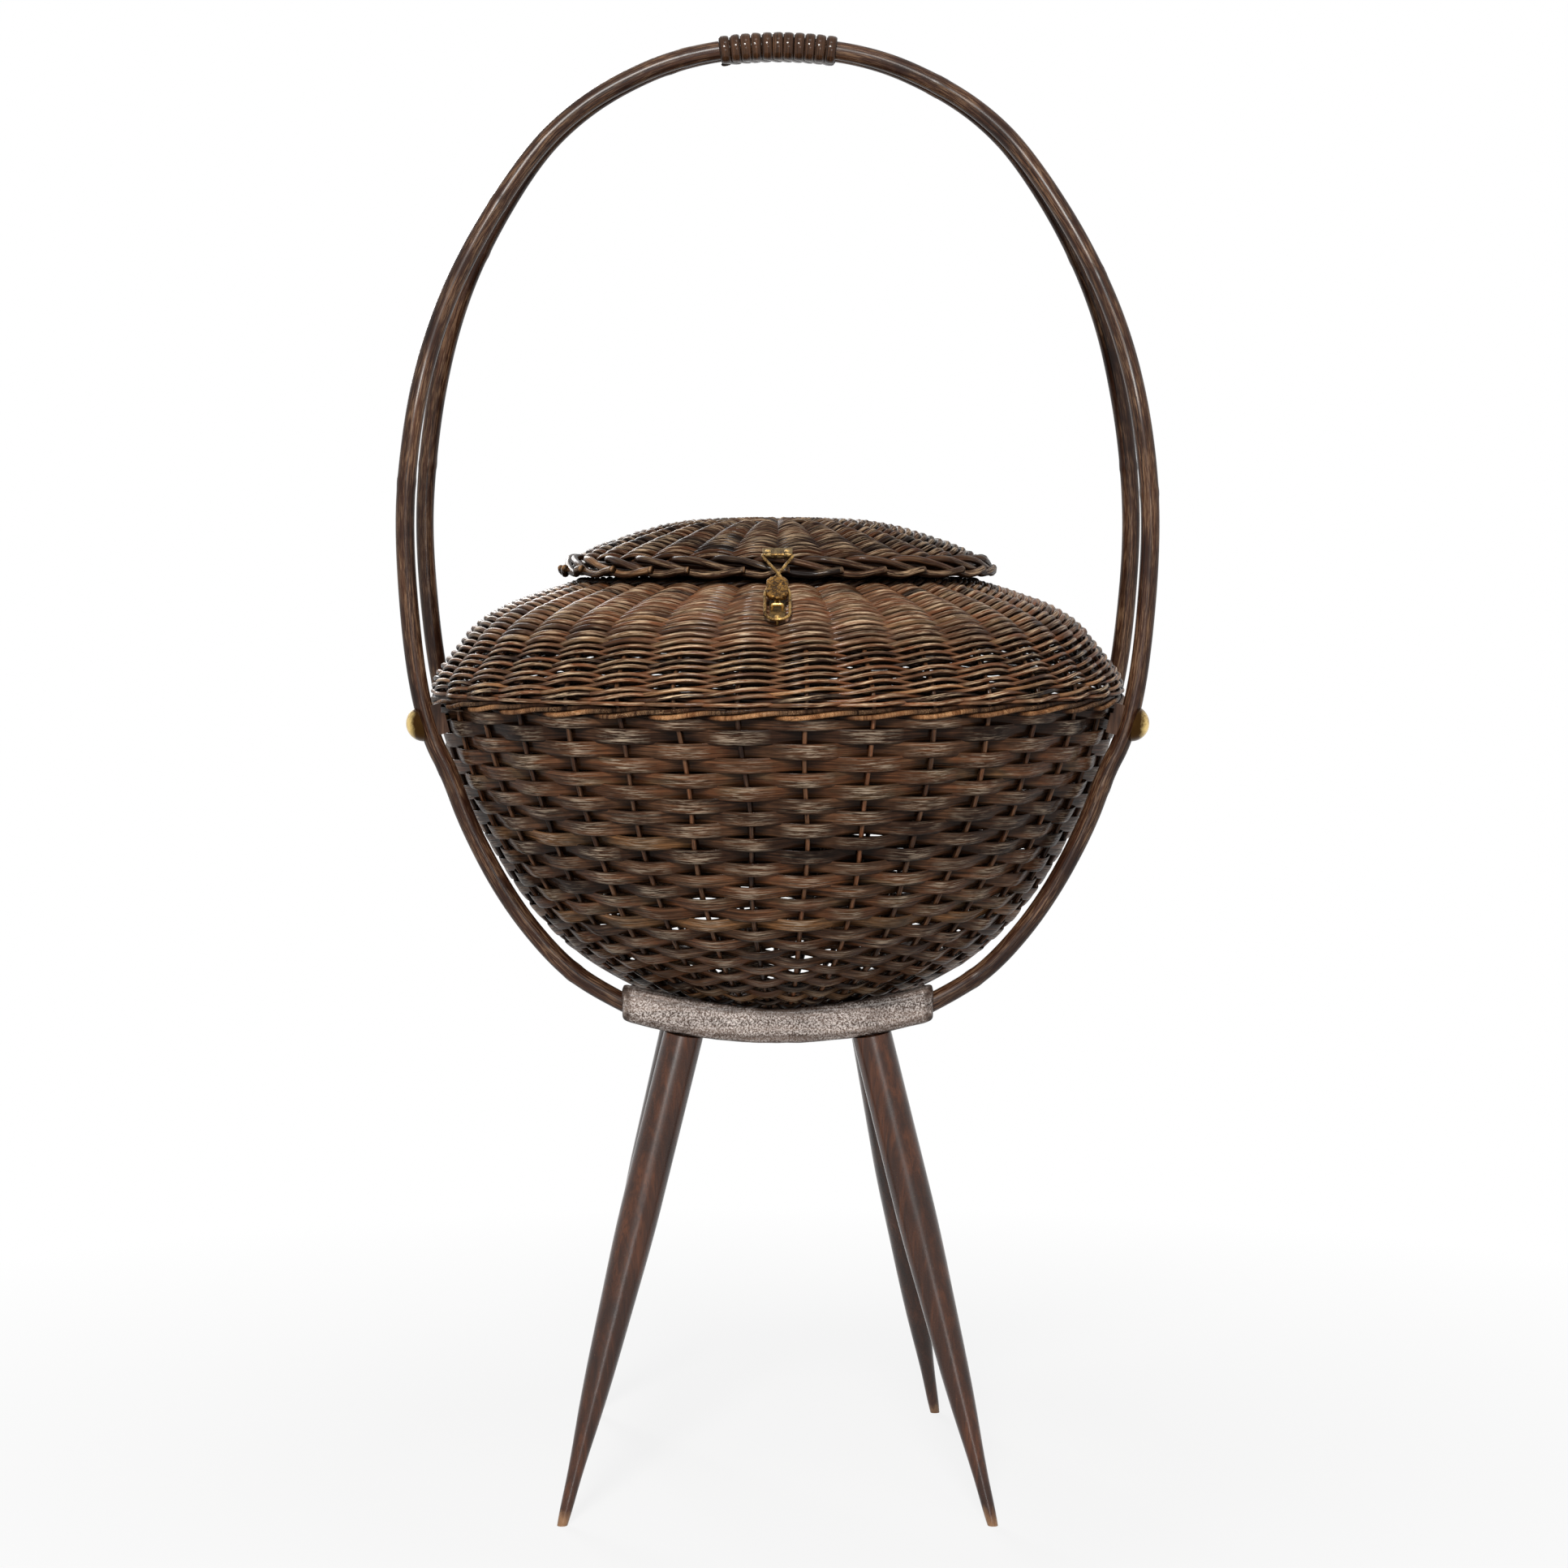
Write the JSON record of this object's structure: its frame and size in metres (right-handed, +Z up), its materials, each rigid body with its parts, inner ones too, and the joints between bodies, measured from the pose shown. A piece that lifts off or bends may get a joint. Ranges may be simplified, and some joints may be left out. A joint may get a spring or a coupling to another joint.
{
  "type": "sewing basket",
  "caption": "Round lidded wicker sewing basket hung between two bent cane hoops on a splay-legged wooden stand, with a swinging brass clasp.",
  "frame": {"origin": "on the floor, under the middle of the basket's bounding box, which is the basket's own axis", "axes": "+Z up; +Y towards the lid's hinge, so the clasp faces -Y; the hoops stand across X"},
  "size_m": [0.4448, 0.415, 0.8613],
  "materials": {
    "woven_cane": "satin",
    "wale_cane": "satin",
    "hoop_cane": "semi-gloss",
    "binding_cane": "satin",
    "board_wood": "satin",
    "stand_wood": "satin",
    "brass": "aged"
  },
  "bodies": {
    "basket": {"basket_base": "woven_cane", "bowl_weave": "woven_cane", "rim_band": "wale_cane", "shoulder_weave": "woven_cane", "opening_border": "woven_cane", "front_hoop": "hoop_cane", "rear_hoop": "hoop_cane", "hoop_binding": "binding_cane", "hoop_spacers": "stand_wood", "backing_blocks": "stand_wood", "hoop_screws": "brass", "hoop_nuts": "brass", "front_board": "board_wood", "rear_board": "board_wood", "cross_rail_left": "board_wood", "cross_rail_right": "board_wood", "leg_front_left": "stand_wood", "leg_front_right": "stand_wood", "leg_rear_left": "stand_wood", "leg_rear_right": "stand_wood", "catch_plate": "brass", "catch_staple": "brass", "catch_rivets": "brass", "lid_hinge_rings": "brass"},
    "lid": {"lid_weave": "woven_cane", "lid_border": "woven_cane", "clasp_plate": "brass", "clasp_plate_rivets": "brass"},
    "clasp_loop": {"clasp_wire": "brass", "clasp_tab": "brass"}
  },
  "joints": [
    {"name": "lid_hinge", "type": "hinge", "parent": "basket", "child": "lid", "pos_m": [0, 0.1296, 0.541], "axis": [-1, 0, 0], "range_deg": [0, 100]},
    {"name": "clasp_swing", "type": "hinge", "parent": "lid", "child": "clasp_loop", "pos_m": [0, -0.1295, 0.5533], "axis": [-1, 0, 0], "range_deg": [0, 140]}
  ]
}
